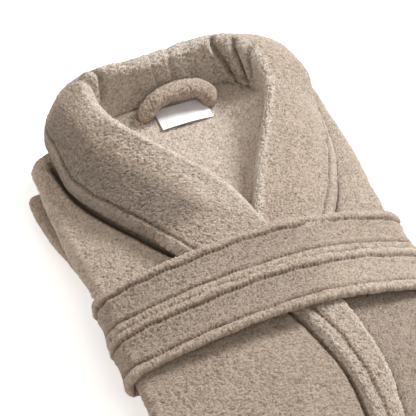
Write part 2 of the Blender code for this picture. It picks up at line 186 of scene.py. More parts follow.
EDGE_TOP = 0.060  # top of the folded body along its sides
FOLD_CORNER = 0.035  # plan radius at the fold line
SHOULDER_CORNER = 0.009  # plan radius at the shoulder
SHOULDER_RISE = 0.27  # how fast the shoulder seam runs back towards the neck
CHEST_SPREAD = 0.004  # how far the sides stand out above the belt
BELT_PINCH = 0.0095  # how much narrower the body is at the belt and below it
PINCH_REACH = 0.110  # how far above the belt the body is back to its full width
SIDE_ROUND = 0.012  # how far the side's rounding reaches in over the body
SIDE_DROOP = 0.010  # how far the folded side hangs down over the sleeves
TURNED_IN = 0.060  # distance from the middle to the end of the turned-under cloth
BAND_THICK = 0.0105
COLLAR_THICK = 0.0100
ROLL_RADIUS = 0.0115  # of the soft fold along the collar's crest
NECK_CORNER_Y = 0.262  # where the crest turns from a lapel into the collar behind the neck

CROWN = 0.030  # rise of the body's middle above its sides at the waist
CROWN_LOSS_AT_FOLD = 0.008
CROWN_LOSS_AT_NECK = 0.018

STEP = 0.0010 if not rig.quick() else 0.0020  # mesh spacing of the cloth
WALL, FACE, UNDER = 52, 86, 30  # points across the collar: stand, top face, underside
OVER, ROUND, BELOW, INSIDE = 185, 18, 40, 20  # points round a front: top, side, under, inside

PILE_HEIGHT = 0.00120
PILE_SIZE = 0.00130
CURLS, TUFTS, CLUMPS = 0.30, 0.85, 0.15  # shares of the pile's height
RUMPLE_SIZE, SMALL_RUMPLE_SIZE = 0.034, 0.013

STITCH_PITCH = 0.0042
STITCH_DEPTH = 0.0024
STITCH_WIDTH = 0.0019
STITCH_SHADE = 0.84
PLEAT_SHADE = 125  # for each metre of a pleat's depth
STITCH_WAVER = ((0.0007, 0.019), (0.0005, 0.0071))  # (how far, over what length) the line wanders
EDGE_TO_STITCH = 0.0095
EDGE_ROLL_MIDDLE, EDGE_ROLL_HALF = 0.0045, 0.0052  # the plump roll outside the stitching


# ---------------------------------------------------------------- numbers on arrays


def smooth(t):
    t = np.clip(t, 0.0, 1.0)
    return t * t * (3 - 2 * t)


def bell(x, middle, width):
    return np.exp(-(((x - middle) / width) ** 2))


def lattice(ix, iy, iz, seed):
    """One repeatable number from 0 to 1 for each whole-number place."""
    h = (ix * 73856093) ^ (iy * 19349663) ^ (iz * 83492791) ^ (seed * 2654435761)
    h &= 0xFFFFFFFF
    h = ((h ^ (h >> 15)) * 2246822519) & 0xFFFFFFFF
    h = ((h ^ (h >> 13)) * 3266489917) & 0xFFFFFFFF
    return ((h ^ (h >> 16)) & 0xFFFFFF) / 0xFFFFFF


def noise(points, size, seed):
    """Smooth noise from -1 to 1 whose features are about as large as size."""
    p = points / size
    low = np.floor(p).astype(np.int64)
    f = p - low
    f = f * f * (3 - 2 * f)
    total = 0.0
    for dx in (0, 1):
        for dy in (0, 1):
            for dz in (0, 1):
                weight = (
                    (f[..., 0] if dx else 1 - f[..., 0])
                    * (f[..., 1] if dy else 1 - f[..., 1])
                    * (f[..., 2] if dz else 1 - f[..., 2])
                )
                total = total + weight * lattice(low[..., 0] + dx, low[..., 1] + dy, low[..., 2] + dz, seed)
    return total * 2 - 1


def through(values, places, where):
    """A smooth curve through values at rising places, read at where and held past its ends."""
    values = np.asarray(values, float)
    places = np.asarray(places, float)
    where = np.asarray(where, float)
    slopes = np.gradient(values, places, axis=0)
    i = np.clip(np.searchsorted(places, where, side="right") - 1, 0, len(places) - 2)
    width = places[i + 1] - places[i]
    t = np.clip((where - places[i]) / width, 0.0, 1.0)
    shape = (-1,) + (1,) * (values.ndim - 1)
    t, width = t.reshape(shape), width.reshape(shape)
    return (
        (2 * t**3 - 3 * t**2 + 1) * values[i]
        + (t**3 - 2 * t**2 + t) * width * slopes[i]
        + (3 * t**2 - 2 * t**3) * values[i + 1]
        + (t**3 - t**2) * width * slopes[i + 1]
    )


def line_through(points, y):
    """Value at y of a curve given as (y, value) points."""
    y = np.asarray(y, float)
    places, values = zip(*points)
    return through(values, places, y.ravel()).reshape(y.shape)


def run_along(path):
    """Distance along a polyline at each of its points."""
    return np.concatenate([[0.0], np.cumsum(np.linalg.norm(np.diff(path, axis=0), axis=1))])


def even(path, count):
    """count points at even distances along a polyline."""
    run = run_along(path)
    at = np.linspace(0.0, run[-1], count)
    return np.stack([np.interp(at, run, path[:, k]) for k in range(3)], axis=1)


def grid_normals(grid):
    """Unit normals of a grid of points whose columns wrap round."""
    across = np.roll(grid, -1, axis=1) - np.roll(grid, 1, axis=1)
    normal = np.cross(np.gradient(grid, axis=0), across)
    return normal / (np.linalg.norm(normal, axis=2, keepdims=True) + 1e-12)


# ---------------------------------------------------------------- cloth pieces


def pile(grid, seed):
    """Height of the curled pile tufts over a grid of points, from about -1 to 1."""
    drift = 0.0016 * np.stack([noise(grid, 0.0055, seed + k) for k in range(3)], axis=-1)
    curls = 1 - 2.6 * np.abs(noise(grid + drift, PILE_SIZE * 1.25, seed))
    tufts = noise(grid - drift, PILE_SIZE, seed + 4)
    clumps = noise(grid, PILE_SIZE * 2.6, seed + 5)
    return np.clip(CURLS * curls + TUFTS * tufts + CLUMPS * clumps, -1.3, 1.3)


def closed_quads(rows, columns):
    """Faces of a grid whose columns wrap round, with a cap of quads over each end."""
    i = np.arange(rows - 1)[:, None]
    j = np.arange(columns)[None, :]
    k = (j + 1) % columns
    corners = (i * columns + j, i * columns + k, (i + 1) * columns + k, (i + 1) * columns + j)
    quads = np.stack(np.broadcast_arrays(*corners), -1).reshape(-1, 4)
    a = np.arange(columns // 2 - 1)
    cap = np.stack([a, a + 1, columns - 2 - a, columns - 1 - a], -1)
    return np.concatenate([quads, cap[:, ::-1], (rows - 1) * columns + cap])


def cloth(
    name, grid, body, material, seed,
    relief=0.0, shade=0.0, rumple=0.0008, pile_height=PILE_HEIGHT, nap=0.0,
):
    """Makes a piece from closed rows of points.

    relief lifts the surface; shade is painted shade in its stitching grooves, pleat valleys and under overhanging
    edges;
    and the painted light argument brightens the surface where above 0 and darkens it with painted shade where below 0.
    """
    normal = grid_normals(grid)
    if ((grid - grid.mean(axis=1, keepdims=True)) * normal).sum() < 0:
        normal = -normal
    rumples = noise(grid, RUMPLE_SIZE, seed + 11) + 0.5 * noise(grid, SMALL_RUMPLE_SIZE, seed + 12)
    tufts = pile(grid, seed) if pile_height else np.zeros(grid.shape[:2])
    grid = grid + normal * (rumple * rumples + tufts * pile_height + relief)[..., None]
    quads = closed_quads(*grid.shape[:2])
    mesh = bpy.data.meshes.new(name)
    mesh.vertices.add(grid.shape[0] * grid.shape[1])
    mesh.vertices.foreach_set("co", grid.astype(np.float32).ravel())
    mesh.loops.add(quads.size)
    mesh.loops.foreach_set("vertex_index", quads.astype(np.int32).ravel())
    mesh.polygons.add(len(quads))
    mesh.polygons.foreach_set("loop_start", np.arange(0, quads.size, 4, dtype=np.int32))
    mesh.update(calc_edges=True)
    mesh.shade_smooth()
    sample = quads[len(quads) // 2]
    corners = grid.reshape(-1, 3)[sample]
    facing = np.cross(corners[1] - corners[0], corners[2] - corners[0])
    if facing @ normal.reshape(-1, 3)[sample[0]] < 0:
        mesh.flip_normals()
    # These attributes carry the painted shade and the painted light and shade of each surface into the material.
    for key, values in (("seam_depth", shade), ("tuft", tufts), ("nap", nap)):
        spread = np.broadcast_to(values, grid.shape[:2]).astype(np.float32)
        mesh.attributes.new(key, "FLOAT", "POINT").data.foreach_set("value", spread.ravel())
    mesh.materials.append(material)
    obj = bpy.data.objects.new(name, mesh)
    bpy.context.scene.collection.objects.link(obj)
    if body:
        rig.ride(obj, body)
    return obj


def stitched_edge(distance, run, ridge=0.0018, inset=EDGE_TO_STITCH):
    """Relief and shade of a turned edge with a line of topstitching beside it."""
    line = inset + sum(amount * np.sin(run / length) for amount, length in STITCH_WAVER)
    dimple = 0.78 + 0.22 * np.cos(2 * math.pi * run / STITCH_PITCH)
    groove = bell(distance, line, STITCH_WIDTH) * dimple
    plump = ridge * np.sqrt(np.clip(1 - ((distance - EDGE_ROLL_MIDDLE) / EDGE_ROLL_HALF) ** 2, 0, 1))
    beside = 0.4 * ridge * bell(distance, line + 0.0052, 0.0030)
    return plump + beside - STITCH_DEPTH * groove, STITCH_SHADE * groove


def pleats(grid, run, folds):
    """Relief and shade of soft pleats that run from the collar's crest to its neck seam."""
    columns = np.arange(grid.shape[1])
    up = np.where(columns <= WALL + FACE, columns / WALL, 0.0)[None, :]
    relief, shade = np.zeros(grid.shape[:2]), np.zeros(grid.shape[:2])
    for crest, foot, depth, width, start, reach in folds:
        at_crest = run[np.argmin(np.hypot(grid[:, WALL, 0] - crest[0], grid[:, WALL, 1] - crest[1]))]
        at_foot = run[np.argmin(np.hypot(grid[:, 0, 0] - foot[0], grid[:, 0, 1] - foot[1]))]
        middle = at_foot + (at_crest - at_foot) * np.clip(up, 0, 1.4)
        amount = depth * smooth((up - start) / 0.25) * smooth((1 + reach - up) / max(reach, 0.20))
        valley = bell(run[:, None], middle, width)
        ridge = bell(run[:, None], middle - 1.9 * width, 1.5 * width)
        relief += amount * (0.55 * ridge - valley)
        shade += PLEAT_SHADE * amount * valley
    return relief, np.clip(shade, 0, 1)


# ---------------------------------------------------------------- shape of the folded body


def half_width(y):
    """Half the body's width in plan at y, with rounded corners at the fold and the shoulder."""
    at_fold = np.clip(FOLD_Y + FOLD_CORNER - y, 0, FOLD_CORNER)
    at_shoulder = np.clip(y - (SHOULDER_END_Y - SHOULDER_CORNER * 0.9), 0, SHOULDER_CORNER * 0.98)
    corners = FOLD_CORNER - math.sqrt(FOLD_CORNER**2 - at_fold**2)
    corners = corners + SHOULDER_CORNER - math.sqrt(SHOULDER_CORNER**2 - at_shoulder**2)
    chest = CHEST_SPREAD * smooth((y - 0.060) / 0.100)
    pinch = BELT_PINCH * bell(max(y, BELT_Y), BELT_Y, PINCH_REACH)
    return float(HALF_WIDTH + chest - pinch - corners)


def crown(x, y):
    """Top of the folded body."""
    at_fold = CROWN_LOSS_AT_FOLD * smooth((-0.120 - y) / 0.120)
    at_neck = CROWN_LOSS_AT_NECK * smooth((y - 0.060) / 0.190)
    return EDGE_TOP + (CROWN - at_fold - at_neck) * np.clip(1 - (x / HALF_WIDTH) ** 2, 0, None)


# The collar's lines in plan, as (y, x) points, and the height of its crests, as (y, z) points.
# Below the belt the left roll is the band's free fold, and the left outer line its stitched edge.
LEFT_ROLL = (
    (FOLD_Y, 0.043), (-0.205, 0.0535), (-0.160, 0.0625), (-0.108, 0.0632), (-0.061, 0.0555),
    (0.046, 0.024), (0.120, -0.009), (0.184, -0.058), (0.232, -0.093),
)
LEFT_OUTER = (
    (FOLD_Y, 0.018), (-0.195, 0.0245), (-0.137, 0.0262), (-0.100, 0.0195), (-0.054, 0.0045),
    (0.050, -0.071), (0.125, -0.116), (0.188, -0.146), (0.245, -0.156),
)
LEFT_ROLL_Z = ((0.020, 0.098), (0.046, 0.107), (0.120, 0.121), (0.184, 0.131), (0.232, 0.1375))
RIGHT_ROLL = ((0.0, -0.010), (0.040, 0.004), (0.075, 0.019), (0.114, 0.038), (0.157, 0.062), (0.213, 0.092))
RIGHT_OUTER = ((0.0, 0.066), (0.042, 0.096), (0.110, 0.132), (0.161, 0.149), (0.220, 0.158))
RIGHT_ROLL_Z = (
    (0.0, 0.088), (0.040, 0.0955), (0.075, 0.1045), (0.114, 0.1155), (0.157, 0.1265), (0.213, 0.132),
)


# ---------------------------------------------------------------- shape of the collar

CREST_POINT, EDGE_POINT = 5, 10  # places of the crest and the outer edge in a section
FINE = 10  # curve points between two points of a section


def collar_section(roll, outer, foot, bulge, flat, lean, sink):
    """Closed outline of the collar at one place: foot of the stand, crest, outer edge, underside.

    lean and sink place the crest's rounding against the roll line, in roll radii. flat is 1 for
    the flat band below the lapel.
    """
    roll, outer, foot = np.array(roll), np.array(outer), np.array(foot)
    up = np.array([0.0, 0.0, 1.0])
    out = (outer - roll) * (1, 1, 0)
    out = out / np.linalg.norm(out)
    centre = roll + ROLL_RADIUS * (lean * out - sink * up)

    def arc(degrees):
        a = math.radians(degrees)
        return centre + ROLL_RADIUS * (math.sin(a) * up - math.cos(a) * out)

    def across(start, t, rise, drop=0.0):
        """A place on the arched sheet from start to the outer edge, drop below its top."""
        chord = outer - start
        normal = (chord @ out) * up - (chord @ up) * out
        normal = normal / np.linalg.norm(normal)
        return start + chord * t + normal * (rise * 4 * t * (1 - t) * (0.75 + 0.5 * t) - drop)

    def beside(place, outwards, downwards):
        return place + out * outwards - up * downwards

    crest = arc(98)
    rolled = [foot, foot + (arc(0) - foot) * 0.5, arc(0), arc(35), arc(68), crest]
    rolled += [across(crest, t, bulge) for t in (0.2, 0.42, 0.64, 0.85)]
    rolled += [beside(outer, -0.002, 0), beside(outer, 0.002, 0.005), beside(outer, -0.0025, 0.010)]
    rolled += [across(crest, t, bulge, COLLAR_THICK + 0.002) for t in (0.6, 0.2)]
    rolled.append(beside(foot, 0.009, -0.006))

    band = [beside(roll, 0.0060, 0.0100), beside(roll, 0.0030, 0.0098), beside(roll, 0.0006, 0.0085)]
    band += [beside(roll, -0.0004, 0.0055), beside(roll, 0.0006, 0.0022), beside(roll, 0.0045, 0)]
    band += [across(band[-1], t, 0.0016) for t in (0.2, 0.42, 0.64, 0.85)]
    band += [beside(outer, -0.003, 0), beside(outer, 0, 0.0045), beside(outer, -0.0030, 0.0095)]
    band += [beside(across(roll, t, 0.0), 0, 0.0100) for t in (0.6, 0.3, 0.15)]
    return [a * (1 - flat) + b * flat for a, b in zip(rolled, band)]


def collar_grid(rows):
    """Dense closed rows along the collar, and the distance along its crest at each of them."""
    sections = np.array([collar_section(*row) for row in rows])
    run = run_along(sections[:, CREST_POINT])
    at = np.linspace(0.0, run[-1], int(run[-1] / STEP) + 1)
    controls = through(sections, run, at)
    count = controls.shape[1]
    wrapped = np.concatenate([controls[:, -2:], controls, controls[:, :3]], axis=1)
    dense_at = np.arange(0, count * FINE + 1) / FINE
    dense = np.moveaxis(through(np.moveaxis(wrapped, 1, 0), np.arange(-2, count + 3), dense_at), 0, 1)
    crest, edge = CREST_POINT * FINE, EDGE_POINT * FINE
    grid = []
    for row in dense:
        stand, face = even(row[: crest + 1], WALL + 1), even(row[crest : edge + 1], FACE + 1)
        under = even(row[edge:], UNDER + 1)
        grid.append(np.concatenate([stand[:-1], face[:-1], under[:-1]]))
    return np.array(grid), at


def collar_cloth(name, grid, run, folds, lapel_body, seed, turns, face_painted_light_and_shade):
    """Makes a length of the collar with its stitching and pleats. turns is 1 in the lapel's rows."""
    steps = np.linalg.norm(np.diff(grid, axis=1), axis=2)
    across = np.concatenate([np.zeros((len(grid), 1)), np.cumsum(steps, axis=1)], axis=1)
    edge = WALL + FACE
    distance = across[:, edge : edge + 1] - across
    on_face = distance > -0.001
    inset = EDGE_TO_STITCH + 0.0032 * smooth((0.045 - grid[:, WALL : WALL + 1, 1]) / 0.05)
    relief, shade = stitched_edge(distance, run[:, None], inset=inset)
    pleat_relief, pleat_shade = pleats(grid, run, folds)
    columns = np.arange(grid.shape[1])
    # Painted light on the stand and along the outer edge, on top of the face's painted light and shade.
    stand_painted_light = STAND_PAINTED_LIGHT * smooth((WALL + 3 - columns) / 8)
    nap = stand_painted_light + face_painted_light_and_shade + COLLAR_EDGE_PAINTED_LIGHT * on_face * bell(distance, 0.004, 0.004)
    obj = cloth(
        name, grid, None, TRIM, seed, on_face * relief + pleat_relief, on_face * shade + pleat_shade,
        rumple=0.0013, nap=nap,
    )
    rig.blend(obj, ROOT, lapel_body, (0, 0, 0), (0, 0, 1))
    from_crest = np.where(columns <= edge, (columns - WALL) / FACE, (grid.shape[1] - columns) / UNDER)
    weights = smooth(from_crest / 0.55)[None, :] * turns[:, None]
    # A straight ramp can't follow a curved roll, so each point gets its own share of the turn.
    obj.data.attributes["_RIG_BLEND"].data.foreach_set("value", weights.astype(np.float32).ravel())
    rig.slot(obj, "plush_trim")
    return obj


# ---------------------------------------------------------------- materials


class Nodes:
    """Short hand for wiring shader nodes."""

    def __init__(self, name):
        self.material = bpy.data.materials.new(name)
        self.material.use_nodes = True
        self.tree = self.material.node_tree
        self.shader = self.tree.nodes["Principled BSDF"]

    def add(self, kind, **settings):
        node = self.tree.nodes.new(kind)
        for key, value in settings.items():
            setattr(node, key, value)
        return node

    def link(self, source, target):
        self.tree.links.new(source, target)

    def put(self, value, socket):
        """Feeds a socket from another node's output, a number or a colour."""
        if isinstance(value, tuple):
            socket.default_value = (*value, 1)
        elif isinstance(value, (int, float)):
            socket.default_value = value
        else:
            self.link(value, socket)

    def attribute(self, name):
        return self.add("ShaderNodeAttribute", attribute_name=name).outputs["Fac"]

    def noise(self, coords, scale, detail, roughness, distortion=0.0):
        node = self.add("ShaderNodeTexNoise")
        node.inputs["Scale"].default_value = scale
        node.inputs["Detail"].default_value = detail
        node.inputs["Roughness"].default_value = roughness
        node.inputs["Distortion"].default_value = distortion
        self.link(coords, node.inputs["Vector"])
        return node.outputs["Fac"]

    def ramp(self, value, low, high, colour_low, colour_high):
        """colour_low where value is low, colour_high where it is high."""
        node = self.add("ShaderNodeMapRange")
        node.inputs["From Min"].default_value = low
        node.inputs["From Max"].default_value = high
        self.link(value, node.inputs["Value"])
        return self.blend(colour_low, colour_high, node.outputs["Result"])

    def blend(self, a, b, factor, kind="MIX"):
        mix = self.add("ShaderNodeMix", data_type="RGBA", blend_type=kind)
        self.put(a, mix.inputs["A"])
        self.put(b, mix.inputs["B"])
        self.put(factor, mix.inputs["Factor"])
        return mix.outputs["Result"]

    def maths(self, kind, a, b):
        node = self.add("ShaderNodeMath", operation=kind)
        self.put(a, node.inputs[0])
        self.put(b, node.inputs[1])
        return node.outputs[0]

    def bump(self, height, strength, distance):
        node = self.add("ShaderNodeBump")
        node.inputs["Strength"].default_value = strength
        node.inputs["Distance"].default_value = distance
        self.link(height, node.inputs["Height"])
        self.link(node.outputs["Normal"], self.shader.inputs["Normal"])


PILE_TIP = (0.72, 0.585, 0.478)
PILE_ROOT = (0.39, 0.270, 0.185)
PAINTED_LIGHT_COLOUR = (0.90, 0.80, 0.70)  # colour of the painted light
FIBRE_SHADE, FIBRE_LIGHT = (0.62, 0.54, 0.46), (1.10, 1.10, 1.10)
TUFT_SHADE, TUFT_LIGHT = (0.36, 0.28, 0.21), (1.12, 1.12, 1.12)
SHEEN = 0.55
SHEEN_TINT = (1.0, 0.90, 0.80, 1)


def plush(name):
    """Short-pile plush: mottled tone, curled fibres, bright tips and darker roots, with painted light and shade for
    each surface, painted shade between the pile's tufts, and painted shade in seams, pleats and under edges.
    """
    n = Nodes(name)
    coords = n.add("ShaderNodeTexCoord").outputs["Object"]
    mottle = n.noise(coords, 24.0, 3.0, 0.55, 0.6)
    tuft = n.noise(coords, 560.0, 2.0, 0.6, 0.7)
    fibre = n.noise(coords, 900.0, 2.0, 0.65, 1.0)
    nap, lift, seam = n.attribute("nap"), n.attribute("tuft"), n.attribute("seam_depth")
    colour = n.ramp(tuft, 0.28, 0.60, PILE_ROOT, PILE_TIP)
    dull, bright = tuple(0.90 * c for c in PILE_TIP), tuple(1.04 * c for c in PILE_TIP)
    colour = n.blend(colour, n.ramp(mottle, 0.35, 0.65, dull, bright), 0.40)
    # Painted shade where a surface's painted light is below 0, and painted light where it is above 0.
    colour = n.blend(colour, n.ramp(nap, -1.0, 0.0, (0.0, 0.0, 0.0), (1.0, 1.0, 1.0)), 1.0, "MULTIPLY")
    colour = n.blend(colour, PAINTED_LIGHT_COLOUR, n.maths("MAXIMUM", nap, 0.0))
    colour = n.blend(colour, n.ramp(fibre, 0.38, 0.60, FIBRE_SHADE, FIBRE_LIGHT), 0.80, "MULTIPLY")
    # Painted shade in the low spots between the pile's tufts, and painted light on their tops.
    colour = n.blend(colour, n.ramp(lift, -0.75, 0.30, TUFT_SHADE, TUFT_LIGHT), 0.85, "MULTIPLY")
    # Painted shade in stitching grooves, pleat valleys and under overhanging edges, with less sheen there.
    colour = n.blend(colour, tuple(0.22 * c for c in PILE_ROOT), n.maths("MULTIPLY", seam, 0.55))
    sheen = n.maths("MAXIMUM", n.maths("SUBTRACT", SHEEN, n.maths("MULTIPLY", seam, 0.7)), 0.0)
    n.link(colour, n.shader.inputs["Base Color"])
    n.link(sheen, n.shader.inputs["Sheen Weight"])
    n.shader.inputs["Sheen Roughness"].default_value = 0.5
    n.shader.inputs["Sheen Tint"].default_value = SHEEN_TINT
    n.shader.inputs["Roughness"].default_value = 0.95
    n.shader.inputs["Specular IOR Level"].default_value = 0.12
    height = n.maths("ADD", n.maths("MULTIPLY", tuft, 0.7), n.maths("MULTIPLY", fibre, 0.5))
    n.bump(height, 1.0, 0.0055)
    return n.material


def satin(name):
    """White woven label cloth: fine weft lines and a soft gloss."""
    n = Nodes(name)
    coords = n.add("ShaderNodeTexCoord").outputs["Object"]
    weave = n.add("ShaderNodeTexWave", wave_type="BANDS", bands_direction="Y")
    weave.inputs["Scale"].default_value = 900.0
    n.link(coords, weave.inputs["Vector"])
    tone = n.noise(coords, 60.0, 2.0, 0.5)
    n.link(n.ramp(tone, 0.3, 0.7, (0.80, 0.78, 0.80), (0.90, 0.885, 0.90)), n.shader.inputs["Base Color"])
    n.shader.inputs["Roughness"].default_value = 0.45
    n.shader.inputs["Sheen Weight"].default_value = 0.2
    n.bump(weave.outputs["Fac"], 0.25, 0.0003)
    return n.material


PLUSH = plush("plush")
TRIM = plush("plush_trim")
SATIN = satin("label_satin")

# Painted light on each surface where above 0, and painted shade where below 0
STAND_PAINTED_LIGHT = 0.90
BACK_PAINTED_LIGHT = 0.30  # painted light on the collar behind the neck, alike on both sides of its seam
COLLAR_EDGE_PAINTED_LIGHT = 0.22
BAND_PAINTED_LIGHT, BAND_EDGE_PAINTED_LIGHT = 0.32, 0.45
LAPEL_CREST_PAINTED_LIGHT, LAPEL_FALL_PAINTED_SHADE = 0.64, -0.46
RIGHT_LAPEL_PAINTED_LIGHT = 0.12
CHEST_PAINTED_LIGHT = 0.22
LEFT_SKIRT_PAINTED_SHADE, RIGHT_SKIRT_PAINTED_SHADE = -0.08, -0.24
LINING_PAINTED_LIGHT = 0.65
BELT_PAINTED_SHADE, BELT_EDGE_PAINTED_LIGHT = -0.22, 0.36
LOWER_RUN_PAINTED_LIGHT, UPPER_RUN_PAINTED_LIGHT = 0.40, 0.14  # painted light added towards the belt's right end


# ---------------------------------------------------------------- collar and front band


SEAM_Z = LINING_Z + 0.002  # of the neck seam

# The two strips meet in this section at the centre back
CENTRE_BACK = (
    (-0.019, 0.303, 0.1425), (-0.019, 0.3255, 0.0755), (-0.006, 0.2795, SEAM_Z), 0.010, 0.0, -0.79, 0.62,
)
CENTRE_PLEAT = ((-0.019, 0.303), (-0.006, 0.2795), 0.0016, 0.0026, -0.30, 0.25)


def behind_neck(crest_y):
    """1 in the rows behind the neck, 0 in the lapels' rows."""
    return smooth((crest_y - NECK_CORNER_Y) / 0.035)[:, None]


def left_collar():
    """From the fold line up the left front and round to the centre-back seam."""
    ys = [FOLD_Y - 0.001, -0.200, -0.150, -0.100, -0.060, -0.020, 0.020]
    ys = np.array(ys + [0.050, 0.085, 0.120, 0.153, 0.184, 0.212])
    roll_x, outer_x = line_through(LEFT_ROLL, ys), line_through(LEFT_OUTER, ys)
    band = 1 - smooth((ys - 0.010) / 0.075)
    roll_z = np.where(ys < 0.030, crown(roll_x, ys) + BAND_THICK, line_through(LEFT_ROLL_Z, ys))
    outer_z = crown(outer_x, ys) + BAND_THICK + 0.0060 * (1 - band) - 0.0058 * band
    rows = []
    for x, y, z, ox, oz, flat in zip(roll_x, ys, roll_z, outer_x, outer_z, band):
        foot = (x + 0.006, y + 0.003, max(LINING_Z - 0.002, z - 0.035))
        rows.append(((x, y, z), (ox, y, oz), foot, 0.0022 + 0.0065 * (1 - flat), flat, 0.82, 0.57))
    rows += [
        # roll line, outer edge, foot, bulge, flat, lean, sink
        ((-0.093, 0.234, 0.137), (-0.1545, 0.240, 0.093), (-0.080, 0.238, SEAM_Z), 0.0085, 0.0, 0.50, 0.75),
        ((-0.103, 0.258, 0.1405), (-0.1555, 0.262, 0.090), (-0.090, 0.256, SEAM_Z), 0.008, 0.0, 0.10, 0.95),
        ((-0.107, 0.280, 0.143), (-0.148, 0.287, 0.086), (-0.091, 0.267, SEAM_Z), 0.009, 0.0, -0.30, 0.90),
        ((-0.099, 0.296, 0.144), (-0.127, 0.313, 0.082), (-0.081, 0.2735, SEAM_Z), 0.010, 0.0, -0.70, 0.70),
        ((-0.073, 0.2995, 0.1437), (-0.090, 0.320, 0.078), (-0.060, 0.276, SEAM_Z), 0.011, 0.0, -0.79, 0.62),
        ((-0.045, 0.301, 0.1432), (-0.052, 0.3235, 0.076), (-0.034, 0.2775, SEAM_Z), 0.010, 0.0, -0.79, 0.62),
        CENTRE_BACK,
    ]
    grid, run = collar_grid(rows)
    folds = [
        # crest, foot, depth, width, start up the stand, reach past the crest
        ((-0.105, 0.290), (-0.086, 0.262), 0.0030, 0.0042, 0.45, 0.35),
        ((-0.088, 0.2965), (-0.080, 0.268), 0.0040, 0.0050, 0.20, 0.25),
        ((-0.045, 0.300), (-0.034, 0.2775), 0.0012, 0.0090, 0.10, 0.30),
        CENTRE_PLEAT,
    ]
    y = grid[:, WALL, 1]
    past = run > run[np.argmax(y > NECK_CORNER_Y)]
    turns = np.where(past, 0.0, smooth((y - 0.052) / 0.050) * smooth((0.268 - y) / 0.125))
    across = (np.arange(grid.shape[1]) - WALL)[None, :] / FACE
    lapel = smooth((y - 0.060) / 0.03)[:, None]
    # Painted highlight along the lapel's crest, painted shade down its fall, painted light on the band and its fold
    # edge, and the back's painted light behind the neck.
    lapel_painted_light_and_shade = LAPEL_CREST_PAINTED_LIGHT * bell(across, 0.08, 0.24) + LAPEL_FALL_PAINTED_SHADE * smooth((across - 0.15) / 0.30)
    nap = lapel_painted_light_and_shade * lapel + BAND_PAINTED_LIGHT * (1 - lapel)
    nap = nap * smooth(across / 0.03) * smooth((1.3 - across) / 0.1)
    nap = nap + BAND_EDGE_PAINTED_LIGHT * (1 - lapel) * smooth((across - 0.96) / 0.04) * smooth((1.25 - across) / 0.1)
    nap = nap + (BACK_PAINTED_LIGHT - nap) * behind_neck(y)
    obj = collar_cloth("collar_left", grid, run, folds, "lapel_left_body", 21, turns, nap)
    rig.replaces(obj, "lapel_left", "front_band_left", "collar_back")


def right_collar():
    """From the centre-back seam round to the right front, then down under the left front."""
    rows = [
        CENTRE_BACK,
        ((0.012, 0.305, 0.143), (0.015, 0.3265, 0.076), (0.020, 0.2805, SEAM_Z), 0.010, 0.0, -0.79, 0.62),
        ((0.045, 0.306, 0.1432), (0.055, 0.3255, 0.077), (0.046, 0.2815, SEAM_Z), 0.010, 0.0, -0.79, 0.62),
        ((0.074, 0.302, 0.143), (0.094, 0.319, 0.080), (0.069, 0.280, SEAM_Z), 0.013, 0.0, -0.70, 0.65),
        ((0.093, 0.289, 0.1415), (0.124, 0.303, 0.084), (0.084, 0.273, SEAM_Z), 0.016, 0.0, -0.40, 0.80),
        ((0.101, 0.271, 0.1395), (0.144, 0.283, 0.088), (0.093, 0.262, SEAM_Z), 0.018, 0.0, 0.00, 0.95),
        ((0.102, 0.252, 0.136), (0.154, 0.260, 0.091), (0.097, 0.247, SEAM_Z), 0.016, 0.0, 0.40, 0.90),
        ((0.098, 0.232, 0.133), (0.158, 0.238, 0.093), (0.095, 0.230, SEAM_Z), 0.013, 0.0, 0.70, 0.85),
    ]
    ys = np.array([0.210, 0.184, 0.157, 0.130, 0.105, 0.080, 0.055, 0.030])
    roll_x, outer_x = line_through(RIGHT_ROLL, ys), line_through(RIGHT_OUTER, ys)
    roll_z, outer_z = line_through(RIGHT_ROLL_Z, ys), crown(outer_x, ys) + BAND_THICK + 0.0045
    for x, y, z, ox, oz in zip(roll_x, ys, roll_z, outer_x, outer_z):
        foot = (x - 0.002, y, max(LINING_Z - 0.001, z - 0.030))
        rows.append(((x, y, z), (ox, y, oz), foot, 0.0085, 0.0, 0.85, 0.85))
    grid, run = collar_grid(rows)
    folds = [
        CENTRE_PLEAT,
        ((0.004, 0.305), (0.012, 0.2805), 0.0022, 0.0040, -0.10, 0.30),
        ((0.030, 0.306), (0.036, 0.2815), 0.0012, 0.0070, 0.05, 0.35),
        ((0.062, 0.303), (0.081, 0.2745), 0.0062, 0.0042, -0.10, 0.05),
        ((0.088, 0.293), (0.093, 0.262), 0.0058, 0.0040, -0.10, 0.05),
        ((0.101, 0.271), (0.0955, 0.252), 0.0036, 0.0036, 0.10, 0.08),
    ]
    y = grid[:, WALL, 1]
    before = run < run[np.argmax((y < NECK_CORNER_Y) & (run > 0.1))]
    turns = np.where(before, 0.0, smooth((y - 0.062) / 0.050) * smooth((0.262 - y) / 0.115))
    # Painted light on the right lapel, and the back's painted light behind the neck.
    nap = RIGHT_LAPEL_PAINTED_LIGHT + (BACK_PAINTED_LIGHT - RIGHT_LAPEL_PAINTED_LIGHT) * behind_neck(y)
    obj = collar_cloth("collar_right", grid, run, folds, "lapel_right_body", 37, turns, nap)
    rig.replaces(obj, "lapel_right")


# ---------------------------------------------------------------- fronts and lining

UNDER_EDGE_DEPTH = 0.0045  # of the hollow that the collar's edge presses into the front
INSIDE_Z = 0.0500  # inner face of a front


